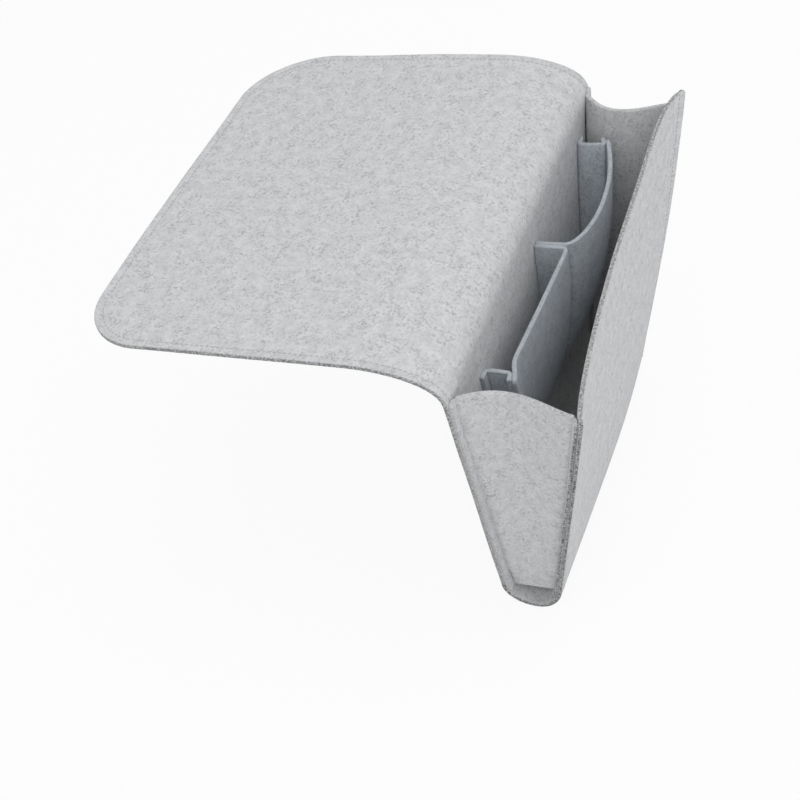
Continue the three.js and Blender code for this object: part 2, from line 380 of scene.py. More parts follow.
def softened(path, softness):
    """A path with its corners rounded: points at even steps, each the weighted mean of those round it."""
    total = path_length(path)
    points = sampled(path, np.linspace(0, total, round(total / PATH_STEP) + 1))
    reach = math.ceil(SOFT_REACH * softness / PATH_STEP)
    weights = np.exp(-0.5 * (np.arange(-reach, reach + 1) * PATH_STEP / softness) ** 2)
    weights /= weights.sum()
    before = points[0] + (points[0] - points[1]) * np.arange(reach, 0, -1)[:, None]
    after = points[-1] + (points[-1] - points[-2]) * np.arange(1, reach + 1)[:, None]
    padded = np.concatenate([before, points, after])
    return np.stack([np.convolve(line, weights, "valid") for line in padded.T], axis=1)


LAST_CELL = 1.001     # keeps a place inside the last cell of a grid


def on_grid(grid, row, column):
    """Values of a grid at places between its rows and columns."""
    row = np.clip(row, 0, grid.shape[0] - LAST_CELL)
    column = np.clip(column, 0, grid.shape[1] - LAST_CELL)
    low, left = row.astype(int), column.astype(int)
    up, across = (row - low)[..., None], (column - left)[..., None]
    below = mix(grid[low, left], grid[low, left + 1], across)
    above = mix(grid[low + 1, left], grid[low + 1, left + 1], across)
    return mix(below, above, up)


def strip_bend(paths, heights, cut_width, band, height_of, hang=0):
    """Bends a strip along the path of each height. hang is how far its right end is let down."""
    columns = np.linspace(0, cut_width, round(cut_width / PATH_STEP) + 1)
    table = np.array([
        sampled(path, keep_edges(columns, cut_width, path_length(path), band)) for path in paths
    ])

    def bend(across, along):
        z = height_of(across, along)
        level = (z - heights[0]) / (heights[1] - heights[0])
        x, y = np.moveaxis(on_grid(table, level, across / columns[1]), -1, 0)
        lift = -hang * x / SIDE
        return np.stack([x, y + BACK_SLOPE * lift, z + lift], axis=-1)

    return bend


def unit(vectors):
    """Vectors with a length of 1."""
    return vectors / np.linalg.norm(vectors, axis=-1, keepdims=True)


# Sheets of felt

class FeltSheet:
    """Felt that is cut flat, with rounded corners, and bent into place.

    width gives the cut's width along its length, groove how far both faces are pressed in, and raw how
    rough the cut edges are. joined names the end at which another mesh goes on, if there is one."""

    def __init__(self, cut, columns, rows, bend, width, corners=(), joined=None, groove=None, raw=None):
        flat = np.meshgrid(columns, rows)
        self.columns, self.rows, self.joined = columns, rows, joined
        self.across, self.along = rounded(*flat, corners)
        widths, full_width = width(self.along), columns[-1] - columns[0]
        places = keep_edges(self.across - columns[0], full_width, widths, FLAT_BAND) - widths / 2
        self.flat = np.stack([places, self.along], axis=-1)
        slope_across = bend(self.across + NUDGE, self.along) - bend(self.across - NUDGE, self.along)
        slope_along = bend(self.across, self.along + NUDGE) - bend(self.across, self.along - NUDGE)
        self.normal = unit(np.cross(slope_across, slope_along))
        self.middle = settled(bend(self.across, self.along), cut)
        press = groove(*flat) if groove else 0
        self.raw = raw(*flat) if raw else np.ones(self.across.shape)
        self.top, self.bottom = (
            HALF - press + cut.lump * waves(self.middle, cut.lump_span, shift)
            for shift in (TOP_SHIFT, BOTTOM_SHIFT)
        )

    def faces(self):
        """Points of the top and the bottom face."""
        top = self.middle + self.normal * self.top[..., None]
        return top, self.middle - self.normal * self.bottom[..., None]

    def seam(self, corners, side):
        """Points and outward directions along a line on one face, through places of the flat cut."""
        corners = np.array(corners)
        total = path_length(corners)
        places = sampled(corners, np.linspace(0, total, max(2, round(total / EDGE_STEP))))
        column, row = (
            np.interp(line, marks, np.arange(len(marks)))
            for line, marks in zip(places.T, (self.columns, self.rows))
        )
        face = self.faces()[0 if side > 0 else 1]
        return on_grid(face, row, column), on_grid(self.normal, row, column) * side

    def cut_area(self):
        """Area of the flat cut, measured on the middle layer."""
        a, b = self.middle[:-1, :-1], self.middle[1:, 1:]
        c, d = self.middle[:-1, 1:], self.middle[1:, :-1]
        return float(np.linalg.norm(np.cross(b - a, d - c), axis=-1).sum() / 2)


RIM_TURNS = np.radians([0, 35, 65, 90])
RAW_SHARES = (0, 0.45, 0.9, 1, 1, 1, 0.9, 0.45, 0)     # rawness of a rim's rings, from face to face
LIT_TOP_RAW = 0.4       # painted light: an edge that faces up keeps only this share of the dark cut-edge colour, so it looks lit from above
CLEAN_RAW = 0.4     # the pockets' edges and the gussets' back flanges' edges keep only this share of it as well
UP_START, UP_RUN = 0.3, 0.5     # how steeply an edge looks up where that painted light starts, and over what range


def boundary(rows, columns):
    """Grid places round a sheet's edge, in order."""
    places = [(0, column) for column in range(columns - 1)]
    places += [(row, columns - 1) for row in range(rows - 1)]
    places += [(rows - 1, column) for column in range(columns - 1, 0, -1)]
    places += [(row, 0) for row in range(rows - 1, 0, -1)]
    return np.array(places).T


def rim_section(top, bottom, rounding):
    """Height over the middle layer and reach past the cut of each ring of a rim, from face to face."""
    upper, lower = (
        [(face - rounding * (1 - math.cos(turn)), rounding * (math.sin(turn) - 1)) for turn in RIM_TURNS]
        for face in (top, bottom)
    )
    return [*upper, (0 * top, 0 * top), *((-height, reach) for height, reach in lower[::-1])]


def rim_loops(sheet, cut):
    """Round rim of a sheet: the boundary's grid places, its rings' points and flat places, its rawness."""
    rows, columns = sheet.across.shape
    row, column = boundary(rows, columns)
    middle, normal, flat = (grid[row, column] for grid in (sheet.middle, sheet.normal, sheet.flat))
    run, flat_run = (np.roll(line, -1, axis=0) - np.roll(line, 1, axis=0) for line in (middle, flat))

    # At a joint the edge is square, and at the joint's ends it looks straight out
    joined_row = {"start": 0, "end": rows - 1}.get(sheet.joined, -1)
    on_joint = row == joined_row
    at_end = on_joint & ((column == 0) | (column == columns - 1))
    inward = 1 if joined_row == 0 else -1
    along = inward * np.where(column == 0, -1, 1)
    inner_row = np.clip(row + inward, 0, rows - 1)
    edge_run = (sheet.middle[inner_row, column] - middle) * along[:, None]
    outward = unit(np.cross(np.where(at_end[:, None], edge_run, run), normal))
    flat_out = unit(np.stack([flat_run[:, 1], -flat_run[:, 0]], axis=1))
    rounding = np.where(on_joint & ~at_end, 0, cut.edge_round)

    top, bottom = sheet.top[row, column], sheet.bottom[row, column]
    fray = cut.edge_fray * waves(middle, FRAY_SPAN, FRAY_SHIFT)
    levels = np.linspace(1, -1, len(RAW_SHARES))
    loops, places, covered = [], [], 0
    for (height, reach), level, share in zip(rim_section(top, bottom, rounding), levels, RAW_SHARES):
        square = np.where(level > 0, top, bottom) * level
        height = np.where(rounding > 0, height, square)
        reach = reach + np.where(rounding > 0, fray * share, 0)
        point = middle + normal * height[:, None] + outward * reach[:, None]
        covered += np.linalg.norm(point - loops[-1], axis=1) if loops else 0
        loops.append(point)
        places.append(flat + flat_out * np.reshape(covered, (-1, 1)))
    # Painted light: the dark cut-edge colour is thinned on edges that face up and kept full on edges that
    # face sideways or down
    facing_up = ramp(outward[:, 2] - UP_START, UP_RUN)
    rawness = np.minimum(1, sheet.raw[row, column] * mix(1, LIT_TOP_RAW, facing_up))
    return row * columns + column, loops, places, rawness


def felt_piece(name, sheet, cut, material, flat_start=0):
    """A closed felt mesh: two faces and a soft rim, with its flat cut as UV map and raw edges marked."""
    rows, columns = sheet.across.shape
    count = rows * columns
    top, bottom = (face.reshape(-1, 3).copy() for face in sheet.faces())
    flat = sheet.flat.reshape(-1, 2)
    edge, loops, places, rawness = rim_loops(sheet, cut)
    top[edge], bottom[edge] = loops[0], loops[-1]
    inner, size = loops[1:-1], len(edge)
    points = np.concatenate([top, bottom, *inner])
    raw = np.concatenate([np.zeros(2 * count), np.outer(RAW_SHARES[1:-1], rawness).ravel()])

    index = np.arange(count).reshape(rows, columns)
    corners = (index[:-1, :-1], index[:-1, 1:], index[1:, 1:], index[1:, :-1])
    face = np.stack(corners, axis=-1).reshape(-1, 4)
    inner_rings = [2 * count + step * size + np.arange(size) for step in range(len(inner))]
    rings = [edge, *inner_rings, edge + count]
    faces, maps = [face, face[:, ::-1] + count], [flat[face], flat[face[:, ::-1]]]
    for upper, lower, above, below in zip(rings, rings[1:], places, places[1:]):
        faces.append(np.stack([np.roll(upper, -1), upper, lower, np.roll(lower, -1)], axis=1))
        maps.append(np.stack([np.roll(above, -1, 0), above, below, np.roll(below, -1, 0)], axis=1))

    mesh = bpy.data.meshes.new(name)
    mesh.from_pydata(points.tolist(), [], np.concatenate(faces).tolist())
    cloth = np.concatenate(maps) + (0, flat_start)
    mesh.uv_layers.new(name="flat").data.foreach_set("uv", cloth.ravel().astype(np.float32))
    mesh.attributes.new("raw_edge", "FLOAT", "POINT").data.foreach_set("value", raw.astype(np.float32))
    mesh.shade_smooth()
    sharpen_joint(mesh, index, sheet)
    mesh.materials.append(material)
    return linked(name, mesh)


def sharpen_joint(mesh, index, sheet):
    """Where the long sheet goes on as another mesh, its faces are shaded as if they ran through."""
    if sheet.joined is None:
        return
    joint = index[0 if sheet.joined == "start" else -1]
    on_joint = np.zeros(len(mesh.vertices), dtype=bool)
    on_joint[joint] = on_joint[joint + index.size] = True
    ends = np.zeros(2 * len(mesh.edges), dtype=np.int32)
    mesh.edges.foreach_get("vertices", ends)
    mesh.edges.foreach_set("use_edge_sharp", on_joint[ends.reshape(-1, 2)].all(axis=1))


def linked(name, mesh):
    """An object for a mesh, in the scene."""
    made = bpy.data.objects.new(name, mesh)
    bpy.context.scene.collection.objects.link(made)
    return made


# The pieces' cuts

# From the flap's free edge to just below the shoulder, where the gussets cover the back's inner face
BACK_START = 268 * MM

# The left side stands up between two distances from the flap's free edge, and out as well
LIFT_START, LIFT_RUN = 60 * MM, 60 * MM
LIFT_END, LIFT_FADE = BACK_START, 36 * MM
LIFT_PUSH = 1.2
FLAP_RAW, BACK_RAW = 0.8, 0.75     # how raw the flap's and the back panel's edges are


def upper_sheet(scene):
    """Flap, shoulder and back panel, from the flap's free edge down to the bottom fold."""
    pouch, cut = scene.caddy_pouch, scene.caddy_cut
    turn = np.linspace(0, math.pi / 2, SHOULDER_POINTS)
    run, drop = SHOULDER_FRONT - SHOULDER_START, HALF - SHOULDER_END
    y = np.concatenate([[FREE_EDGE], SHOULDER_START + run * np.sin(turn), [FOLD_BACK]])
    z = np.concatenate([[HALF], HALF - drop * (1 - np.cos(turn)), [FOLD_TOP]])
    steps = line_steps(np.stack([y, z], axis=1))
    cut_width = 2 * SIDE

    def width(along):
        return 2 * side_edge(np.interp(along, steps, z))

    def bend(across, along):
        here_y, here_z = np.interp(along, steps, y), np.interp(along, steps, z)
        x = keep_edges(across, cut_width, width(along)) - width(along) / 2
        on_flap = ramp(SHOULDER_START - here_y, SHOULDER_START - FREE_EDGE)
        skew = (pouch.flap_trim - pouch.flap_skew * x / SIDE) * on_flap
        rise = 1 - np.exp(-(np.maximum(along - LIFT_START, 0) / LIFT_RUN) ** 2)
        fade = eased(ramp(LIFT_END - along, LIFT_FADE))
        lift = pouch.shoulder_lift * rise * fade * ((SIDE - x) / cut_width) ** 2
        droop = pouch.flap_droop * (on_flap * x / SIDE) ** 2
        return np.stack([x, here_y + skew + LIFT_PUSH * lift, here_z + lift - droop], axis=-1)

    def hem(across, along):
        side = np.minimum(across, cut_width - across)
        unfolded = ramp(steps[-1] - along, EDGE_BAND)
        on_back = ramp(along - steps[-2], EDGE_BAND)
        return (pressed(cut, np.minimum(side, along)) + thinned(cut, side) * on_back) * unfolded

    def raw(across, along):
        return np.where(along < BACK_START, FLAP_RAW, BACK_RAW)

    columns = spaced(cut_width, PANEL_STEP, True, True)
    rows = spaced(steps[-1], PANEL_STEP, True, False)
    corners = [(False, False, pouch.left_corner), (True, False, pouch.right_corner)]
    return FeltSheet(cut, columns, rows, bend, width, corners, "end", hem, raw)


BEZIER_REACH = 0.75     # a curve goes this share of the way to its two handles
FOLD_SKEW = 0.28        # the bottom fold is tighter at the front than at the back
RIM_RAW = 1.8           # the front panel's rim keeps more of the dark cut-edge colour than the painted light leaves on other edges that face up
MEASURED_AT = 0.5       # where the front panel's length is taken, from -1 at the left to 1 at the right


def lower_sheet(scene):
    """Bottom fold and front panel, from the back panel's end up to the mouth."""
    pouch, cut = scene.caddy_pouch, scene.caddy_cut
    reach = (FOLD_TOP - FOLD_LOWEST) / BEZIER_REACH
    fold_run = np.linspace(0, 1, FOLD_POINTS)

    def fold(share, across):
        front = front_middle(pouch, across, FOLD_TOP)
        lean = (front_middle(pouch, across, FOLD_TOP + NUDGE) - front) / NUDGE
        back_reach, front_reach = reach * (1 - FOLD_SKEW), reach * (1 + FOLD_SKEW)
        back_handle, front_handle = FOLD_BACK - BACK_SLOPE * back_reach, front - lean * front_reach
        y = bezier((FOLD_BACK, back_handle, front_handle, front), share)
        z = bezier((FOLD_TOP, FOLD_TOP - back_reach, FOLD_TOP - front_reach, FOLD_TOP), share)
        return y, z

    fold_steps = line_steps(np.stack(fold(fold_run, 0), axis=1))
    fold_length = fold_steps[-1]
    fold_y, rim_y = (front_middle(pouch, MEASURED_AT, z) for z in (FOLD_TOP, RIM))
    front_length = math.hypot(RIM - FOLD_TOP, rim_y - fold_y)
    cut_width = 2 * SIDE

    def bend(across, along):
        share = np.interp(along, fold_steps, fold_run)
        rise = np.maximum(along - fold_length, 0) / front_length
        z_front = mix(FOLD_TOP, RIM - pouch.hang * (across / SIDE - 1), rise)
        wide = 2 * side_edge(z_front)
        x = keep_edges(across, cut_width, wide) - wide / 2
        place = 2 * x / wide
        y_fold, z_fold = fold(share, place)
        folded = along < fold_length
        y = np.where(folded, y_fold, front_middle(pouch, place, z_front))
        return np.stack([x, y, np.where(folded, z_fold, z_front)], axis=-1)

    def width(along):
        return 2 * side_edge(mix(FOLD_TOP, RIM, np.maximum(along - fold_length, 0) / front_length))

    def seams(across, along):
        above = ramp(along - fold_length, EDGE_BAND)
        side = np.minimum(across, cut_width - across)
        return (pressed(cut, side) + thinned(cut, side)) * above

    columns = spaced(cut_width, PANEL_STEP, True, True)
    fold_rows = np.linspace(0, fold_length, FOLD_ROWS)
    front_rows = fold_length + spaced(front_length, PANEL_STEP, False, True)
    rows = np.concatenate([fold_rows[:-1], front_rows])

    def raw(across, along):
        return mix(1, RIM_RAW, ramp(along - rows[-1] + EDGE_BAND, EDGE_BAND))

    corners = [(False, True, pouch.ear), (True, True, pouch.ear)]
    sheet = FeltSheet(cut, columns, rows, bend, width, corners, "start", seams, raw)
    sheet.fold_length = fold_length
    return sheet


BACK_ROUND, FRONT_ROUND = 42, 11     # how fast the bottom fold rounds in under the gussets, per metre
BOW_SKEW = 1.5                       # a gusset bows in most nearer its back
BOW_PEAK = BOW_SKEW**BOW_SKEW / (1 + BOW_SKEW) ** (1 + BOW_SKEW)
CREASE_HALF = 1 * MM                 # half width of an end gusset's creases


def gusset_path(back, front, bow, outward, softness):
    """Section of a gusset. back and front are its flanges, edge to crease, with a bowed web between."""
    share = np.linspace(0, 1, WEB_POINTS)[:, None]
    web = mix(np.array(back[-1]), np.array(front[-1]), share)
    web[:, 0] -= outward * bow * (share * (1 - share) ** BOW_SKEW / BOW_PEAK)[:, 0]
    return softened(np.concatenate([back[:-1], web, front[-2::-1]]), softness)


def end_gusset(scene, outward):
    """An end gusset of the pouch, from the bottom fold up to the rim."""
    pouch, cut = scene.caddy_pouch, scene.caddy_cut
    bottom = FOLD_TOP - pouch.gusset_drop
    heights = np.linspace(bottom, RIM + pouch.left_ear, GUSSET_LEVELS)
    flange = np.linspace(0, pouch.flange, FLANGE_POINTS)

    def on_back(z, inset):
        thinner = 2 * thinned(cut, inset) * above_fold(z) * below_shoulder(z)
        place = back_inner(z) + HALF + TOUCH - thinner + BACK_ROUND * max(0, FOLD_TOP - z) ** 2
        return (outward * (side_edge(z) - inset), place)

    def under_front(z, inset):
        half, into_fold = side_edge(z), max(0, FOLD_TOP - z)
        layer = FELT + TOUCH - 2 * thinned(cut, inset) * above_fold(z)
        across = outward * (1 - inset / half)
        place = front_middle(pouch, across, z)
        lean = (front_middle(pouch, across, z + NUDGE) - place) / NUDGE
        turn = (front_middle(pouch, across - outward * NUDGE / half, z) - place) / NUDGE
        return (across * half, place - layer * math.hypot(1, lean, turn) - FRONT_ROUND * into_fold**2)

    paths = []
    for z in heights:
        back = [on_back(z, inset) for inset in flange]
        front = [under_front(z, inset) for inset in flange]
        bow = pouch.gusset_bow * max(0, z - FOLD_TOP) / (RIM - FOLD_TOP)
        paths.append(gusset_path(back, front, bow, outward, pouch.crease))
    cut_width, tall = path_length(paths[-1]), RIM - bottom
    dip = pouch.right_dip if outward > 0 else pouch.left_dip
    ear = 0 if outward > 0 else pouch.left_ear

    def height_of(across, along):
        rest = 1 - ramp(across, cut_width)
        return mix(bottom, RIM + ear * rest**4 - dip * (1 - rest**2), along / tall)

    def creases(across, along):
        edge, z = np.minimum(across, cut_width - across), height_of(across, along)
        held = above_fold(z) * np.where(across < cut_width / 2, below_shoulder(z), 1)
        press = pouch.crease_press * np.exp(-((edge - pouch.flange) / CREASE_HALF) ** 2)
        return press + thinned(cut, edge) * held

    def raw(across, along):
        return np.where(across < cut_width / 2, CLEAN_RAW, 1)

    columns = spaced(cut_width, POCKET_STEP, True, True)
    rows = spaced(tall, PANEL_STEP, True, True)
    bend = strip_bend(paths, heights, cut_width, EDGE_BAND, height_of)
    corners = [(right, True, pouch.ear) for right in (False, True)]
    width = width_of(paths, tall)
    return FeltSheet(cut, columns, rows, bend, width, corners, groove=creases, raw=raw)


def width_of(paths, tall):
    """A strip's width along its height, from its paths."""
    lengths = [path_length(path) for path in paths]
    return lambda along: np.interp(along, np.linspace(0, tall, len(paths)), lengths)


def clean_edges(across, along):
    """Rawness of the pockets' cut edges."""
    return np.full(across.shape, CLEAN_RAW)


POCKET_CORNER = 4 * MM     # radius of a pocket wall's outer upper corner


class PocketShape:
    """Where a pocket's wall runs: share goes from the divider to the outer end."""

    FULLNESS = 2.5                    # how fast the wall fills out above its bottom seam
    BELLY = (0, 1 / 8, 5 / 8, 1)      # places of the wall's curve points between divider and outer end
    FLARE_START = 0.86                # share of the wall past which its outer end turns out

    def __init__(self, pockets, kind):
        self.pockets = pockets
        phone = kind == "phone"
        self.outward = 1 if phone else -1
        self.inset = pockets.phone_inset if phone else pockets.bottle_inset
        start, end = pockets.phone_divider, pockets.phone_end
        straight = [mix(start, end, place) for place in self.BELLY]
        drawn = [pockets.bottle_divider, pockets.bottle_belly, pockets.bottle_belly, pockets.bottle_end]
        self.depths = straight if phone else drawn
        self.flare = pockets.phone_flare if phone else 0
        self.arm = pockets.divider + self.outward * (HALF + TOUCH)
        self.bottom = POCKET_RIM - pockets.height

    def end(self, z):
        """X of the pocket's outer end."""
        return self.outward * (side_edge(z) - self.inset)

    def wall(self, z, share):
        """Middle layer of the wall at a height."""
        fullness = 1 - (1 - ramp(z - self.bottom, self.pockets.height)) ** self.FULLNESS
        turned = ramp(share - self.FLARE_START, 1 - self.FLARE_START)
        full = bezier(self.depths, share) + self.flare * eased(turned)
        depth = mix(HALF + TOUCH, full, fullness)
        x = mix(self.arm, self.end(z), bezier(self.BELLY, share))
        return np.stack([x, back_inner(z) + depth], axis=-1)


def pocket_strip(scene, kind):
    """A pocket's wall and the arm that it turns back to the back panel as a divider, in one strip."""
    pockets, cut = scene.caddy_pockets, scene.caddy_cut
    shape = PocketShape(pockets, kind)
    heights = np.linspace(shape.bottom, POCKET_RIM, STRIP_LEVELS)
    share = np.linspace(0, 1, WALL_POINTS)
    paths = []
    for z in heights:
        arm = np.array([[shape.arm, back_inner(z) + 2 * TOUCH]])
        paths.append(softened(np.concatenate([arm, shape.wall(z, share)]), pockets.turn))
    cut_width = path_length(paths[-1])
    columns = spaced(cut_width, POCKET_STEP, False, True)
    rows = spaced(pockets.height, POCKET_STEP, True, True)

    def height_of(across, along):
        return shape.bottom + along

    bend = strip_bend(paths, heights, cut_width, FLAT_BAND, height_of, scene.caddy_pouch.hang)
    if shape.outward < 0:
        mirrored = bend

        def bend(across, along):
            return mirrored(cut_width - across, along)

        columns = cut_width - columns[::-1]
    corners = [(shape.outward > 0, True, POCKET_CORNER)]
    return FeltSheet(cut, columns, rows, bend, width_of(paths, pockets.height), corners, raw=clean_edges)


def pocket_side(scene, kind):
    """The small gusset that closes a pocket's outer end, with its two flanges turned outwards."""
    pockets, cut = scene.caddy_pockets, scene.caddy_cut
    shape = PocketShape(pockets, kind)
    heights = np.linspace(POCKET_RIM - pockets.gusset_height, POCKET_RIM, SIDE_LEVELS)
    share = np.linspace(0, 1, FINE_WALL_POINTS)
    layer = FELT + TOUCH
    paths = []
    for z in heights:
        wall = shape.wall(z, share)
        wall_x, wall_y = wall[np.argsort(wall[:, 0])].T
        ends = [shape.end(z) - shape.outward * inset for inset in (0, pockets.flange)]
        back = [(x, back_inner(z) + HALF + TOUCH) for x in ends]
        front = [(x, np.interp(x, wall_x, wall_y) - layer) for x in ends]
        paths.append(gusset_path(back, front, pockets.gusset_bow, shape.outward, pockets.crease))
    cut_width = path_length(paths[-1])
    columns = np.linspace(0, cut_width, SIDE_COLUMNS)
    rows = spaced(pockets.gusset_height, POCKET_STEP, True, True)

    def height_of(across, along):
        return heights[0] + along

    bend = strip_bend(paths, heights, cut_width, pockets.flange, height_of, scene.caddy_pouch.hang)
    return FeltSheet(cut, columns, rows, bend, width_of(paths, pockets.gusset_height), raw=clean_edges)


# Materials

def wired(tree, kind, inputs=None, **settings):
    """Adds a node: settings are its own, inputs are values or the sockets that feed it."""
    made = tree.nodes.new(kind)
    for name, value in settings.items():
        setattr(made, name, value)
    for name, value in (inputs or {}).items():
        if isinstance(value, bpy.types.NodeSocket):
            tree.links.new(value, made.inputs[name])
        else:
            made.inputs[name].default_value = value
    return made


def result(tree, kind, inputs=None, **settings):
    """The first output of a new node."""
    return wired(tree, kind, inputs, **settings).outputs[0]


def maths(tree, operation, *values):
    """A Math node's result."""
    return result(tree, "ShaderNodeMath", dict(enumerate(values)), operation=operation)


def ranged(tree, value, low, high, start=0.0, end=1.0):
    """A value taken smoothly from one range to another."""
    inputs = {"Value": value, "From Min": low, "From Max": high, "To Min": start, "To Max": end}
    return result(tree, "ShaderNodeMapRange", inputs, interpolation_type="SMOOTHSTEP")


def blended(tree, factor, a, b, blend_type="MIX"):
    """One colour laid over another. The sockets go by number, because each kind of value has its own."""
    inputs = {0: factor, 6: a, 7: b}
    return wired(tree, "ShaderNodeMix", inputs, data_type="RGBA", blend_type=blend_type).outputs[2]


def opaque(rgb):
    """A colour with its alpha."""
    return (*rgb, 1.0)


def new_material(name):
    """An empty node material and its tree."""
    material = bpy.data.materials.new(name)
    material.use_nodes = True
    material.node_tree.nodes.clear()
    return material, material.node_tree


# Fibres in the felt
FLECK_SPANS = (9.0, 6.5, 5.2, 12.0, 7.6)     # millimetres over which the dark fibres of each layer wander
PALE_SPAN = 8.3             # the same for the pale fibres
LAYER_SHIFT = (37, 91)      # how many of its spans a layer is moved by, so that no two are alike
FIBRE_LEVEL = 0.5           # level of the noise that a fibre follows
FLECK_WIDTH = 0.08          # half the width of a fibre, as a step of that noise
FIBRE_DETAIL, FIBRE_CURL = 0.6, 0.4
PALE_STRENGTH, FLECK_STRENGTH = 0.35, 0.43
FLECK_RELIEF = -0.2         # dark fibres lie a little lower

# Noise in the felt: steps per millimetre and detail, the range that is read, and what that becomes
FIBRE_LENGTHS = {"scale": 0.46, "detail": 0.6, "low": 0.53, "high": 0.73}
SPECKS = {"scale": 0.4, "detail": 0.8, "low": 0.58, "high": 0.76}
GATHERING = {"scale": 0.09, "detail": 3.0, "low": 0.36, "high": 0.64, "start": 0.4}
CLOUDS = {"scale": 0.13, "detail": 4.0, "low": 0.25, "high": 0.75, "start": 0.93, "end": 1.055}
GRAIN = {"scale": 0.8, "detail": 2.0, "low": 0.25, "high": 0.75, "start": 0.965, "end": 1.035}
RAW_SPECKLE = {"scale": 0.66, "detail": 1.2, "low": 0.42, "high": 0.53}
RAW_PATCHES = {"scale": 0.13, "detail": 2.0, "low": 0.35, "high": 0.62, "start": 0.7}
RELIEF = {"scale": 0.6, "detail": 1.5}

# Shares of the cut edge's own colours on the felt's body
RAW_GROUND, RAW_STRENGTH = 0.65, 0.9


def noise_at(tree, place, scale, detail, distortion=0.0):
    """Flat noise at a place that is given in millimetres."""
    inputs = {"Vector": place, "Scale": scale, "Detail": detail, "Distortion": distortion}
    return result(tree, "ShaderNodeTexNoise", inputs, noise_dimensions="2D")


def mottled(tree, place, scale, detail, low, high, start=0.0, end=1.0):
    """Flat noise, taken smoothly from one range to another."""
    return ranged(tree, noise_at(tree, place, scale, detail), low, high, start, end)


def fibre_layer(tree, place, span):
    """Thin curved fibres: level lines of a slow noise, broken into short lengths by a quicker one."""
    shift = (span * LAYER_SHIFT[0], span * LAYER_SHIFT[1], 0)
    moved = result(tree, "ShaderNodeVectorMath", {0: place, 1: shift}, operation="ADD")
    slow = noise_at(tree, moved, 1 / span, FIBRE_DETAIL, FIBRE_CURL)
    level = maths(tree, "ABSOLUTE", maths(tree, "SUBTRACT", slow, FIBRE_LEVEL))
    lengths = mottled(tree, moved, **FIBRE_LENGTHS)
    return maths(tree, "MULTIPLY", ranged(tree, level, 0.0, FLECK_WIDTH, 1.0, 0.0), lengths)


def felt_material(name, felt, finish):
    """Pressed felt: cloudy grey, dark and pale fibres, a fine grain, and speckled raw edges."""
    material, tree = new_material(name)
    flat = result(tree, "ShaderNodeUVMap", uv_map="flat")
    place = result(tree, "ShaderNodeVectorMath", {0: flat, "Scale": 1 / MM}, operation="SCALE")

    dark = mottled(tree, place, **SPECKS)
    for span in FLECK_SPANS:
        dark = maths(tree, "MAXIMUM", dark, fibre_layer(tree, place, span))
    gathered = maths(tree, "MULTIPLY", dark, mottled(tree, place, **GATHERING))
    pale = fibre_layer(tree, place, PALE_SPAN)
    shade = maths(tree, "MULTIPLY", mottled(tree, place, **CLOUDS), mottled(tree, place, **GRAIN))
    body = blended(tree, maths(tree, "MULTIPLY", pale, PALE_STRENGTH), opaque(felt), opaque(finish.pale))
    body = blended(tree, maths(tree, "MULTIPLY", gathered, FLECK_STRENGTH), body, opaque(finish.fleck))
    body = blended(tree, 1.0, body, shade, "MULTIPLY")

    patches = mottled(tree, place, **RAW_PATCHES)
    specked = maths(tree, "MULTIPLY", mottled(tree, place, **RAW_SPECKLE), patches)
    ground = blended(tree, RAW_GROUND, body, opaque(finish.raw_pale))
    edge_colour = blended(tree, specked, ground, opaque(finish.raw_dark))
    raw = wired(tree, "ShaderNodeAttribute", attribute_name="raw_edge").outputs["Fac"]
    surface = blended(tree, maths(tree, "MULTIPLY", raw, RAW_STRENGTH), body, edge_colour)

    fleck_relief = maths(tree, "MULTIPLY", dark, FLECK_RELIEF)
    relief = maths(tree, "ADD", noise_at(tree, place, **RELIEF), fleck_relief)
    bump = result(tree, "ShaderNodeBump", {"Strength": 0.45, "Distance": 0.3 * MM, "Height": relief})
    finished(tree, {
        "Base Color": surface,
        "Normal": bump,
        "Roughness": 0.95,
        "Specular IOR Level": 0.15,
        "Sheen Weight": 0.12,
        "Sheen Roughness": 0.6,
    })
    return material


def finished(tree, inputs):
    """Closes a material's tree with its shader."""
    shader = result(tree, "ShaderNodeBsdfPrincipled", inputs)
    wired(tree, "ShaderNodeOutputMaterial", {"Surface": shader})


TWIST = {"Scale": 1600.0, "Detail": 2.0}     # the thread's twist, in steps per metre
TWIST_SHADE = {"low": 0.3, "high": 0.7, "start": 0.82, "end": 1.1}


def thread_material(finish):
    """Twisted grey sewing thread."""
    material, tree = new_material("sewing_thread")
    place = wired(tree, "ShaderNodeTexCoord").outputs["Object"]
    twist = result(tree, "ShaderNodeTexNoise", {"Vector": place, **TWIST})
    shade = ranged(tree, twist, **TWIST_SHADE)
    bump = result(tree, "ShaderNodeBump", {"Strength": 0.4, "Distance": 0.05 * MM, "Height": twist})
    finished(tree, {
        "Base Color": blended(tree, 1.0, opaque(finish.thread), shade, "MULTIPLY"),
        "Normal": bump,
        "Roughness": 0.8,
        "Specular IOR Level": 0.25,
    })
    return material


def finish_named(scene, name):
    """The felt or thread finish of that name, made on first use."""
    finish = scene.caddy_finish
    if name in bpy.data.materials:
        return bpy.data.materials[name]
    if name == "sewing_thread":
        return thread_material(finish)
    # The pocket felt's colour is painted shade: darker and cooler for the shade inside the pouch
    return felt_material(name, finish.pocket if name == "pocket_felt_and_painted_shade" else finish.felt, finish)


# Placing baked into the pieces' meshes


def shoulder_bend(piece):
    """Bakes the piece's placing into its mesh."""
    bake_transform(piece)


def mouth_bend(piece):
    """Bakes the piece's placing into its mesh."""
    start = Vector((0, back_inner(FOLD_TOP) + FELT, FOLD_TOP))
    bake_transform(piece)


def fold_bend(piece):
    """Bakes the piece's placing into its mesh."""
    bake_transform(piece)


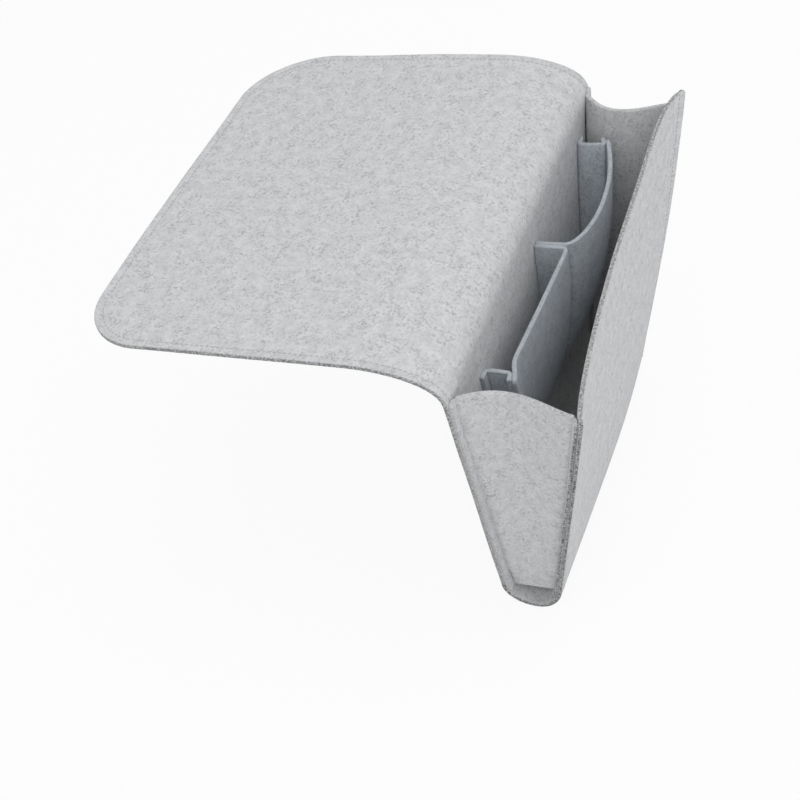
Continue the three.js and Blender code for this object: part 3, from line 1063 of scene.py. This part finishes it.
def pocket_bend(piece):
    """Bakes the piece's placing into its mesh."""
    start = Vector((0, back_inner(POCKET_RIM) + HALF, POCKET_RIM))
    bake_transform(piece)


# Stitches

SUNK, PROUD = -1.2, 2.4     # a stitch's ends in the felt and its curve's handle above, in thread radii
ARC_POINTS, RING_POINTS = 5, 6


def stitch_tree():
    """Geometry nodes that lay one stitch at each step along a seam, pulled into the felt at both ends."""
    tree = bpy.data.node_groups.new("stitches_along_seam", "GeometryNodeTree")
    sockets = tree.interface
    sockets.new_socket("Geometry", in_out="OUTPUT", socket_type="NodeSocketGeometry")
    sockets.new_socket("Seam", in_out="INPUT", socket_type="NodeSocketGeometry")
    for name in ("Pitch", "Stitch", "Thread"):
        sockets.new_socket(name, in_out="INPUT", socket_type="NodeSocketFloat")
    sockets.new_socket("Material", in_out="INPUT", socket_type="NodeSocketMaterial")
    given = wired(tree, "NodeGroupInput").outputs
    curve = result(tree, "GeometryNodeMeshToCurve", {0: given["Seam"]})
    pitch = {"Curve": curve, "Length": given["Pitch"]}
    steps = result(tree, "GeometryNodeResampleCurve", pitch, mode="LENGTH")

    sunk, proud = (maths(tree, "MULTIPLY", given["Thread"], radii) for radii in (SUNK, PROUD))
    back, ahead = (maths(tree, "MULTIPLY", given["Stitch"], share) for share in (-0.5, 0.5))
    start, end = (result(tree, "ShaderNodeCombineXYZ", {"X": x, "Z": sunk}) for x in (back, ahead))
    handle = result(tree, "ShaderNodeCombineXYZ", {"Z": proud})
    arch = {"Resolution": ARC_POINTS, "Start": start, "Middle": handle, "End": end}
    arc = result(tree, "GeometryNodeCurveQuadraticBezier", arch)
    round_thread = {"Resolution": RING_POINTS, "Radius": given["Thread"]}
    ring = result(tree, "GeometryNodeCurvePrimitiveCircle", round_thread)
    swept = {"Curve": arc, "Profile Curve": ring, "Fill Caps": True}
    stitch = result(tree, "GeometryNodeCurveToMesh", swept)

    seam_out = {"Name": "seam_out"}
    outward = result(tree, "GeometryNodeInputNamedAttribute", seam_out, data_type="FLOAT_VECTOR")
    along = result(tree, "GeometryNodeInputTangent")
    upright = result(tree, "FunctionNodeAlignRotationToVector", {"Vector": outward}, axis="Z")
    lengthways = {"Rotation": upright, "Vector": along}
    turned = result(tree, "FunctionNodeAlignRotationToVector", lengthways, axis="X", pivot_axis="Z")
    laid = {"Points": steps, "Instance": stitch, "Rotation": turned}
    placed = result(tree, "GeometryNodeInstanceOnPoints", laid)
    real = result(tree, "GeometryNodeRealizeInstances", {0: placed})
    shown = result(tree, "GeometryNodeSetMaterial", {"Geometry": real, "Material": given["Material"]})
    wired(tree, "NodeGroupOutput", {"Geometry": shown})
    return tree


def grown(source, tree, settings):
    """Runs a geometry tree on an object and returns the result as a plain mesh, with the object removed."""
    modifier = source.modifiers.new(tree.name, "NODES")
    modifier.node_group = tree
    for item in tree.interface.items_tree:
        if item.in_out == "INPUT" and item.name in settings:
            modifier[item.identifier] = settings[item.name]
    graph = bpy.context.evaluated_depsgraph_get()
    mesh = bpy.data.meshes.new_from_object(source.evaluated_get(graph))
    source.modifiers.remove(modifier)
    old = source.data
    bpy.data.objects.remove(source)
    bpy.data.meshes.remove(old)
    return mesh


def sewn(name, scene, seams):
    """One object of stitches along several seams. Each seam is its points and outward directions."""
    tree = bpy.data.node_groups.get("stitches_along_seam") or stitch_tree()
    points = np.concatenate([seam[0] for seam in seams])
    outward = np.concatenate([seam[1] for seam in seams])
    edges, first = [], 0
    for seam in seams:
        count = len(seam[0])
        edges += [(first + step, first + step + 1) for step in range(count - 1)]
        first += count
    mesh = bpy.data.meshes.new(name + "_seams")
    mesh.from_pydata(points.tolist(), edges, [])
    mesh.attributes.new("seam_out", "FLOAT_VECTOR", "POINT").data.foreach_set("vector", outward.ravel())
    cut = scene.caddy_cut
    settings = {
        "Pitch": cut.pitch,
        "Stitch": cut.stitch,
        "Thread": cut.thread,
        "Material": finish_named(scene, "sewing_thread"),
    }
    mesh = grown(linked(name + "_seams", mesh), tree, settings)
    mesh.name = name
    mesh.shade_smooth()
    return linked(name, mesh)


# Operators

class CADDY_OT_stage(Operator):
    """Floor, soft studio light, white surroundings and the camera"""
    bl_idname = "caddy.stage"
    bl_label = "Stage"

    AIM = Vector((108.96, 94.65, -73.08)) * MM

    # Size, place and tint of each lamp
    KEY_LAMP = (1.4, (0.3, 0.5, 1.25), (1, 0.985, 0.965))
    FILL_LAMP = (0.8, (1.0, 1.25, 0.35), (0.97, 0.98, 1))

    WHITE = (1, 1, 1, 1)
    SKY_TINT = (0.965, 0.98, 1, 1)
    FLOOR_TINT = (0.95, 0.95, 0.95, 1)
    FLOOR_HALF = 4.0
    FLOOR_GAP = 2 * MM     # between the floor and the solids
    GLOW_START, GLOW_END = 0.9, 3.0     # distances over which the floor turns all white

    def execute(self, context):
        scene, studio = context.scene, context.scene.caddy_studio
        scene.view_settings.view_transform = "Standard"
        self.floor(studio)
        self.world(scene, studio)
        self.lamp("key_lamp", studio.key, *self.KEY_LAMP)
        self.lamp("fill_lamp", studio.fill, *self.FILL_LAMP)
        self.camera(scene, studio)
        return {"FINISHED"}

    def floor(self, studio):
        half, z = self.FLOOR_HALF, CAD_BOX[0].z - self.FLOOR_GAP
        mesh = bpy.data.meshes.new("floor")
        corners = [(-half, -half, z), (half, -half, z), (half, half, z), (-half, half, z)]
        mesh.from_pydata(corners, [], [(0, 1, 2, 3)])
        material, tree = new_material("pale_floor")
        matt = result(tree, "ShaderNodeBsdfDiffuse", {"Color": self.FLOOR_TINT})
        white = result(tree, "ShaderNodeEmission", {"Color": self.WHITE, "Strength": 1.0})
        place = wired(tree, "ShaderNodeTexCoord").outputs["Object"]
        away = wired(tree, "ShaderNodeVectorMath", {0: place}, operation="LENGTH").outputs["Value"]
        glow = ranged(tree, away, self.GLOW_START, self.GLOW_END, studio.floor_glow, 1.0)
        share = maths(tree, "MULTIPLY", self.seen_directly(tree), glow)
        both = result(tree, "ShaderNodeMixShader", {0: share, 1: matt, 2: white})
        wired(tree, "ShaderNodeOutputMaterial", {"Surface": both})
        mesh.materials.append(material)
        linked("floor", mesh)

    def seen_directly(self, tree):
        light_path = wired(tree, "ShaderNodeLightPath").outputs
        seen = maths(tree, "MAXIMUM", light_path["Is Camera Ray"], light_path["Is Glossy Ray"])
        return maths(tree, "MAXIMUM", seen, light_path["Is Transmission Ray"])

    def world(self, scene, studio):
        world = bpy.data.worlds.new("studio")
        scene.world = world
        world.use_nodes = True
        tree = world.node_tree
        tree.nodes.clear()
        even = result(tree, "ShaderNodeBackground", {"Color": self.SKY_TINT, "Strength": studio.sky})
        white = result(tree, "ShaderNodeBackground", {"Color": self.WHITE, "Strength": 1.0})
        both = result(tree, "ShaderNodeMixShader", {0: self.seen_directly(tree), 1: even, 2: white})
        wired(tree, "ShaderNodeOutputWorld", {"Surface": both})

    def lamp(self, name, power, size, place, tint):
        light = bpy.data.lights.new(name, "AREA")
        light.energy, light.size, light.color = power, size, tint
        lamp = linked(name, light)
        lamp.location = place
        lamp.rotation_euler = (self.AIM - Vector(place)).to_track_quat("-Z", "Y").to_euler()

    def camera(self, scene, studio):
        lens = bpy.data.cameras.new("camera")
        lens.lens = studio.lens
        camera = linked("camera", lens)
        turn, rise, roll = studio.azimuth, studio.elevation, studio.roll
        flat = math.cos(rise)
        back = Vector((math.sin(turn) * flat, -math.cos(turn) * flat, math.sin(rise)))
        right = Vector((math.cos(turn), math.sin(turn), 0))
        up = back.cross(right)
        turned = right * math.cos(roll) + up * math.sin(roll)
        risen = up * math.cos(roll) - right * math.sin(roll)
        axes = Matrix((turned, risen, back)).transposed().to_4x4()
        camera.matrix_world = Matrix.Translation(self.AIM + back * studio.distance) @ axes
        scene.camera = camera


class CADDY_OT_long_sheet(Operator):
    """The long sheet: flap, shoulder and back panel, then bottom fold and front panel"""
    bl_idname = "caddy.long_sheet"
    bl_label = "Long sheet"

    def execute(self, context):
        scene = context.scene
        felt = finish_named(scene, "heather_felt")
        upper = upper_sheet(scene)
        piece = felt_piece("long_sheet_upper", upper, scene.caddy_cut, felt)
        shoulder_bend(piece)
        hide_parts("mattress_flap", "shoulder_bend", "back_panel")
        upper.cut_area()
        lower = lower_sheet(scene)
        piece = felt_piece("long_sheet_lower", lower, scene.caddy_cut, felt, upper.rows[-1])
        fold_bend(piece)
        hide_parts("bottom_fold", "front_panel")
        lower.cut_area()
        return {"FINISHED"}


class CADDY_OT_end_gussets(Operator):
    """The two end gussets of the pouch, with their sewn flanges"""
    bl_idname = "caddy.end_gussets"
    bl_label = "End gussets"

    def execute(self, context):
        scene = context.scene
        felt = finish_named(scene, "heather_felt")
        for name, outward in (("right", 1), ("left", -1)):
            gusset = end_gusset(scene, outward)
            piece = felt_piece(name + "_end_gusset", gusset, scene.caddy_cut, felt)
            mouth_bend(piece)
            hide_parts(name + "_gusset")
            gusset.cut_area()
        return {"FINISHED"}


class CADDY_OT_pockets(Operator):
    """The phone pocket and the bottle pocket: their strips and their small side gussets"""
    bl_idname = "caddy.pockets"
    bl_label = "Pockets"

    def execute(self, context):
        scene = context.scene
        felt = finish_named(scene, "pocket_felt_and_painted_shade")
        nodes = {"strip": ("wall", "divider"), "side": ("gusset",)}
        for kind in ("phone", "bottle"):
            sheets = {"strip": pocket_strip(scene, kind), "side": pocket_side(scene, kind)}
            for part, sheet in sheets.items():
                piece = felt_piece(f"{kind}_pocket_{part}", sheet, scene.caddy_cut, felt)
                pocket_bend(piece)
                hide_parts(*(f"{kind}_pocket_{node}" for node in nodes[part]))
                sheet.cut_area()
        return {"FINISHED"}


class CADDY_OT_stitching(Operator):
    """Stitches along the hem and the seams"""
    bl_idname = "caddy.stitching"
    bl_label = "Stitching"

    SHEET_STOP = 2 * MM     # how far short of the long sheet's ends its rows of stitches stop
    EDGE_STOP = 3 * MM      # and short of the gussets' and the pockets' cut edges

    def execute(self, context):
        scene = context.scene
        inset = scene.caddy_cut.hem_inset
        shoulder_bend(self.sew(scene, "hem_stitches", self.hem(upper_sheet(scene), inset)))
        pouch_seams, front_seams = [], []
        lower = lower_sheet(scene)
        for place in (inset, 2 * SIDE - inset):
            low, high = lower.fold_length, lower.rows[-1] - self.SHEET_STOP
            front_seams.append(lower.seam([(place, low), (place, high)], -1))
        for outward in (1, -1):
            gusset = end_gusset(scene, outward)
            low, high, wide = self.EDGE_STOP, gusset.rows[-1] - scene.caddy_pouch.ear, gusset.columns[-1]
            pouch_seams.append(gusset.seam([(inset, low), (inset, high)], outward))
            front_seams.append(gusset.seam([(wide - inset, low), (wide - inset, high)], outward))
        for kind in ("phone", "bottle"):
            pouch_seams += self.rear_seams(scene, kind)
            strip = pocket_strip(scene, kind)
            end = inset if kind == "bottle" else strip.columns[-1] - inset
            low, high = strip.rows[-1] - scene.caddy_pockets.gusset_height, strip.rows[-1] - self.EDGE_STOP
            wall = [strip.seam([(end, low), (end, high)], -1)]
            pocket_bend(self.sew(scene, kind + "_pocket_stitches", wall))
        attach(self.sew(scene, "pouch_stitches", pouch_seams), "pouch")
        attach(self.sew(scene, "front_stitches", front_seams), "front")
        return {"FINISHED"}

    def sew(self, scene, name, seams):
        piece = sewn(name, scene, seams)
        return piece

    def hem(self, upper, inset):
        """Round the flap and down the back panel: on its inner face only to where the gussets cover it."""
        left, right, end = inset, 2 * SIDE - inset, upper.rows[-1] - self.SHEET_STOP
        return [
            upper.seam([(left, stop), (left, inset), (right, inset), (right, stop)], side)
            for side, stop in ((1, BACK_START), (-1, end))
        ]

    def rear_seams(self, scene, kind):
        """The pocket's seams, where they come through to the rear face of the back panel."""
        pockets, hang = scene.caddy_pockets, scene.caddy_pouch.hang
        shape = PocketShape(pockets, kind)
        z = np.linspace(POCKET_RIM - pockets.gusset_height, POCKET_RIM, REAR_POINTS_UP)
        x = np.linspace(shape.arm, shape.end(shape.bottom), REAR_POINTS_ACROSS)
        bottom_seam = (x, np.full(x.shape, shape.bottom + HALF))
        end_seam = (shape.end(z) - shape.outward * pockets.flange / 2, z)
        seams = []
        for line_x, line_z in (bottom_seam, end_seam):
            line_z = line_z - hang * line_x / SIDE
            points = np.stack([line_x, back_inner(line_z) - FELT, line_z], axis=-1)
            outward = np.tile((0, -1, BACK_SLOPE), (len(points), 1))
            seams.append((settled(points, scene.caddy_cut), outward))
        return seams


class CADDY_PT_sidebar(Panel):
    """The caddy's settings and steps"""
    bl_idname = "CADDY_PT_sidebar"
    bl_label = "Felt bedside caddy"
    bl_space_type = "VIEW_3D"
    bl_region_type = "UI"
    bl_category = "Caddy"

    def draw(self, context):
        for step in STEPS:
            self.layout.operator(step.bl_idname)
        for name, kind in SETTINGS.items():
            box = self.layout.box()
            box.label(text=kind.__doc__)
            for setting in kind.__annotations__:
                box.prop(getattr(context.scene, name), setting)


SETTINGS = {
    "caddy_pouch": CaddyPouch,
    "caddy_pockets": CaddyPockets,
    "caddy_cut": CaddyCut,
    "caddy_finish": CaddyFinish,
    "caddy_studio": CaddyStudio,
}
STEPS = (
    CADDY_OT_stage,
    CADDY_OT_long_sheet,
    CADDY_OT_end_gussets,
    CADDY_OT_pockets,
    CADDY_OT_stitching,
)


def register():
    for kind in (*SETTINGS.values(), *STEPS, CADDY_PT_sidebar):
        bpy.utils.register_class(kind)
    for name, kind in SETTINGS.items():
        setattr(bpy.types.Scene, name, PointerProperty(type=kind))


def unregister():
    for name in SETTINGS:
        delattr(bpy.types.Scene, name)
    for kind in (CADDY_PT_sidebar, *STEPS[::-1], *reversed(SETTINGS.values())):
        bpy.utils.unregister_class(kind)


def main():
    register()
    bpy.ops.caddy.stage()
    bpy.ops.caddy.long_sheet()
    bpy.ops.caddy.end_gussets()
    bpy.ops.caddy.pockets()
    bpy.ops.caddy.stitching()


if __name__ == "__main__":
    main()
